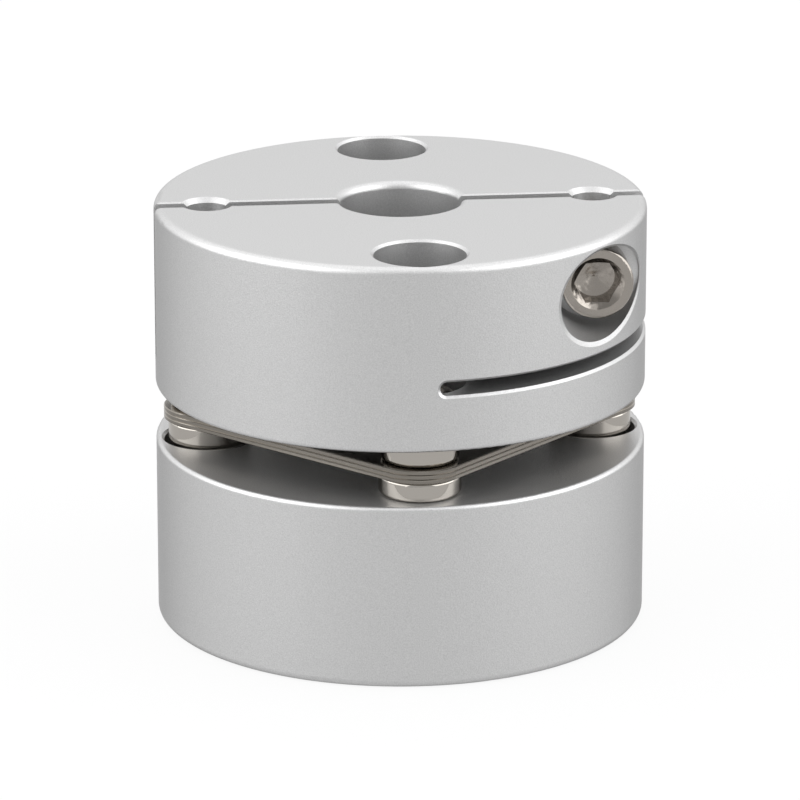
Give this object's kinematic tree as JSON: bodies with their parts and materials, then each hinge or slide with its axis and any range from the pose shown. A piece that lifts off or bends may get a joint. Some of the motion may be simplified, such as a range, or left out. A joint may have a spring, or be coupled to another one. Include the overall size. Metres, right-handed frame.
{
  "type": "disc coupling",
  "caption": "Flexible shaft coupling: two clamp hubs standing on end, joined by a thin steel disc pack on collars and bolts.",
  "frame": {"origin": "centre of the lower hub's outer face, on the shaft axis", "axes": "+Z along the shaft axis from the lower hub to the upper one, -Y towards the side with the upper clamp screw's head, +X towards the upper clamp screw"},
  "size_m": [0.039, 0.039, 0.034],
  "materials": {
    "hub": "satin, blasted and clear anodised",
    "disc": "rolled stainless sheet",
    "collar": "polished",
    "screw": "bright stainless, cold formed"
  },
  "bodies": {
    "root": {"upper_hub": "hub", "lower_hub": "hub", "disc_1": "disc", "disc_2": "disc", "disc_3": "disc", "hub_collar_front": "collar", "hub_collar_back": "collar", "hub_collar_left": "collar", "hub_collar_right": "collar", "head_collar_front": "collar", "head_collar_back": "collar", "head_collar_left": "collar", "head_collar_right": "collar", "disc_bolt_front": "screw", "disc_bolt_back": "screw", "disc_bolt_left": "screw", "disc_bolt_right": "screw", "upper_clamp_screw": "screw", "lower_clamp_screw": "screw"}
  },
  "joints": []
}
